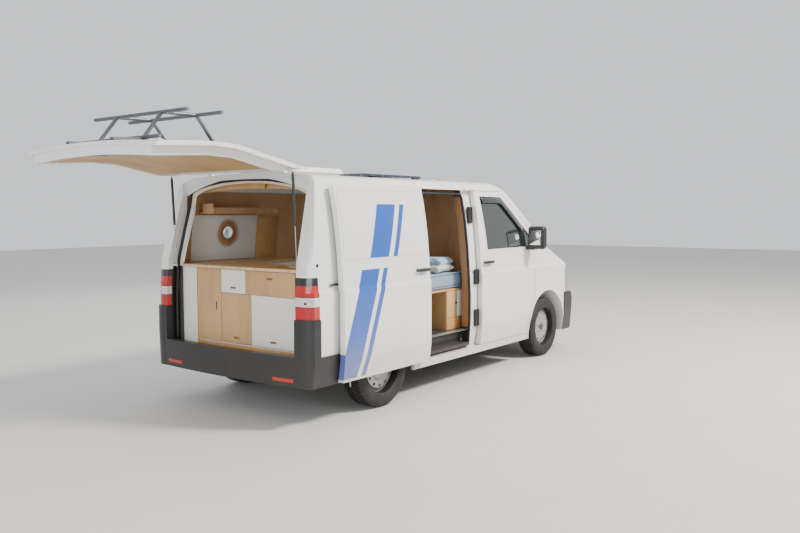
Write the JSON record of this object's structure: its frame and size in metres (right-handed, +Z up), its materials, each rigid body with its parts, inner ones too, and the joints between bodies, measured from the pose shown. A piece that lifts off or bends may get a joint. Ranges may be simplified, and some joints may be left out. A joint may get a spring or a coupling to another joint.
{
  "type": "camper van",
  "caption": "Panel van fitted as a camper, tailgate raised over a rear kitchen, side door slid back to a bed, roof hatch and solar panel.",
  "frame": {"origin": "on the floor, under the middle of the whole van with its tailgate raised", "axes": "+X forward, +Y to the van's left, +Z up"},
  "size_m": [6.0454, 2.26, 2.3952],
  "materials": {
    "paint": "gloss white",
    "underbody": "matt grey",
    "black_metal": "satin black",
    "bright_steel": "brushed",
    "wheel_steel": "satin silver",
    "alloy": "satin",
    "cast": "rough",
    "window": "tinted",
    "hatch_plastic": "satin",
    "solar": "gloss dark",
    "black_plastic": "grained",
    "dark_plastic": "grained",
    "lamp_clear": "clear",
    "lamp_red": "gloss red",
    "tyre": "matt",
    "birch": "oiled",
    "dark_wood": "oiled",
    "white_board": "painted white",
    "seat_cloth": "woven",
    "blue_cloth": "woven"
  },
  "bodies": {
    "van": {"side_left": "paint", "side_right": "paint", "roof": "paint", "solar_panel": "solar", "rear_frame": "paint", "floor": "underbody", "front_body": "paint", "wings": "paint", "front_bumper": "paint", "rear_bumper": "paint", "grille": "black_plastic", "head_lamps": "lamp_clear", "tail_lamps": "lamp_red", "windscreen": "window", "sliding_door": "paint", "front_axle": "black_metal", "rear_axle": "black_metal", "engine": "cast", "exhaust": "bright_steel", "fuel_tank": "black_plastic", "cab_seats": "seat_cloth", "dashboard": "dark_plastic", "kitchen_carcass": "white_board", "worktop": "birch", "wall_lining": "dark_wood", "bed_base": "birch", "mattress": "blue_cloth", "pillows": "blue_cloth"},
    "bonnet": {"bonnet": "paint"},
    "cab_door_left": {"cab_door_left": "paint", "cab_glass_left": "window", "mirror_left": "black_plastic"},
    "cab_door_right": {"cab_door_right": "paint", "cab_glass_right": "window", "mirror_right": "black_plastic"},
    "tailgate": {"tailgate": "paint", "tailgate_glass": "window", "tailgate_lining": "birch", "bike_carrier": "alloy"},
    "strut_rods": {"strut_rods": "bright_steel"},
    "strut_tubes": {"strut_tubes": "black_metal"},
    "hatch_lid": {"roof_hatch": "hatch_plastic"},
    "knuckle_left": {"knuckle_left": "cast"},
    "knuckle_right": {"knuckle_right": "cast"},
    "wheel_front_left": {"tyre_front_left": "tyre", "wheel_front_left": "wheel_steel"},
    "wheel_front_right": {"tyre_front_right": "tyre", "wheel_front_right": "wheel_steel"},
    "wheel_rear_left": {"tyre_rear_left": "tyre", "wheel_rear_left": "wheel_steel"},
    "wheel_rear_right": {"tyre_rear_right": "tyre", "wheel_rear_right": "wheel_steel"},
    "drawer_small": {"kitchen_drawer_small": "white_board"},
    "drawer_wide": {"kitchen_drawer_wide": "birch"},
    "drawer_low_left": {"kitchen_drawer_low_left": "birch"},
    "drawer_low_right": {"kitchen_drawer_low_right": "white_board"},
    "tall_door": {"kitchen_tall_door": "birch"}
  },
  "joints": [
    {"name": "bonnet_hinge", "type": "hinge", "parent": "van", "child": "bonnet", "pos_m": [2.153, 0, 1.245], "axis": [0, -1, 0], "range_deg": [0, 50]},
    {"name": "cab_door_left_hinge", "type": "hinge", "parent": "van", "child": "cab_door_left", "pos_m": [1.821, 0.943, 1], "axis": [0, 0, -1], "range_deg": [0, 68]},
    {"name": "cab_door_right_hinge", "type": "hinge", "parent": "van", "child": "cab_door_right", "pos_m": [1.821, -0.943, 1], "axis": [0, 0, 1], "range_deg": [0, 68]},
    {"name": "tailgate_hinge", "type": "hinge", "parent": "van", "child": "tailgate", "pos_m": [-1.5965, 0, 1.994], "axis": [0, 1, 0], "range_deg": [-86, 0]},
    {"name": "strut_swing", "type": "hinge", "parent": "van", "child": "strut_rods", "pos_m": [-1.74, 0, 1.2], "axis": [0, 1, 0], "range_deg": [0, 15.45]},
    {"name": "strut_slide", "type": "slide", "parent": "strut_rods", "child": "strut_tubes", "axis": [-0.0449, 0, 0.999], "range_m": [-0.1552, 0]},
    {"name": "hatch_hinge", "type": "hinge", "parent": "van", "child": "hatch_lid", "pos_m": [-0.655, 0, 2.013], "axis": [0, 1, 0], "range_deg": [0, 50]},
    {"name": "steer_left", "type": "hinge", "parent": "van", "child": "knuckle_left", "pos_m": [2.118, 0.754, 0.336], "axis": [0, 0, 1], "range_deg": [-35, 35]},
    {"name": "steer_right", "type": "hinge", "parent": "van", "child": "knuckle_right", "pos_m": [2.118, -0.754, 0.336], "axis": [0, 0, 1], "range_deg": [-35, 35]},
    {"name": "roll_front_left", "type": "hinge", "parent": "knuckle_left", "child": "wheel_front_left", "pos_m": [2.118, 0.814, 0.336], "axis": [0, 1, 0], "continuous": true},
    {"name": "roll_front_right", "type": "hinge", "parent": "knuckle_right", "child": "wheel_front_right", "pos_m": [2.118, -0.814, 0.336], "axis": [0, 1, 0], "continuous": true},
    {"name": "roll_rear_left", "type": "hinge", "parent": "van", "child": "wheel_rear_left", "pos_m": [-0.882, 0.814, 0.336], "axis": [0, 1, 0], "continuous": true},
    {"name": "roll_rear_right", "type": "hinge", "parent": "van", "child": "wheel_rear_right", "pos_m": [-0.882, -0.814, 0.336], "axis": [0, 1, 0], "continuous": true},
    {"name": "tall_door_hinge", "type": "hinge", "parent": "van", "child": "tall_door", "pos_m": [-1.682, 0.5325, 0.9], "axis": [0, 0, -1], "range_deg": [0, 90]},
    {"name": "drawer_small_slide", "type": "slide", "parent": "van", "child": "drawer_small", "axis": [-1, 0, 0], "range_m": [0, 0.3]},
    {"name": "drawer_wide_slide", "type": "slide", "parent": "van", "child": "drawer_wide", "axis": [-1, 0, 0], "range_m": [0, 0.3]},
    {"name": "drawer_low_left_slide", "type": "slide", "parent": "van", "child": "drawer_low_left", "axis": [-1, 0, 0], "range_m": [0, 0.3]},
    {"name": "drawer_low_right_slide", "type": "slide", "parent": "van", "child": "drawer_low_right", "axis": [-1, 0, 0], "range_m": [0, 0.3]}
  ],
  "couplings": [
    {"joint": "strut_swing", "follows": "tailgate_hinge", "ratio": -0.17907},
    {"joint": "strut_slide", "follows": "tailgate_hinge", "m_per_rad": 0.10331},
    {"joint": "steer_right", "follows": "steer_left", "ratio": 1}
  ]
}
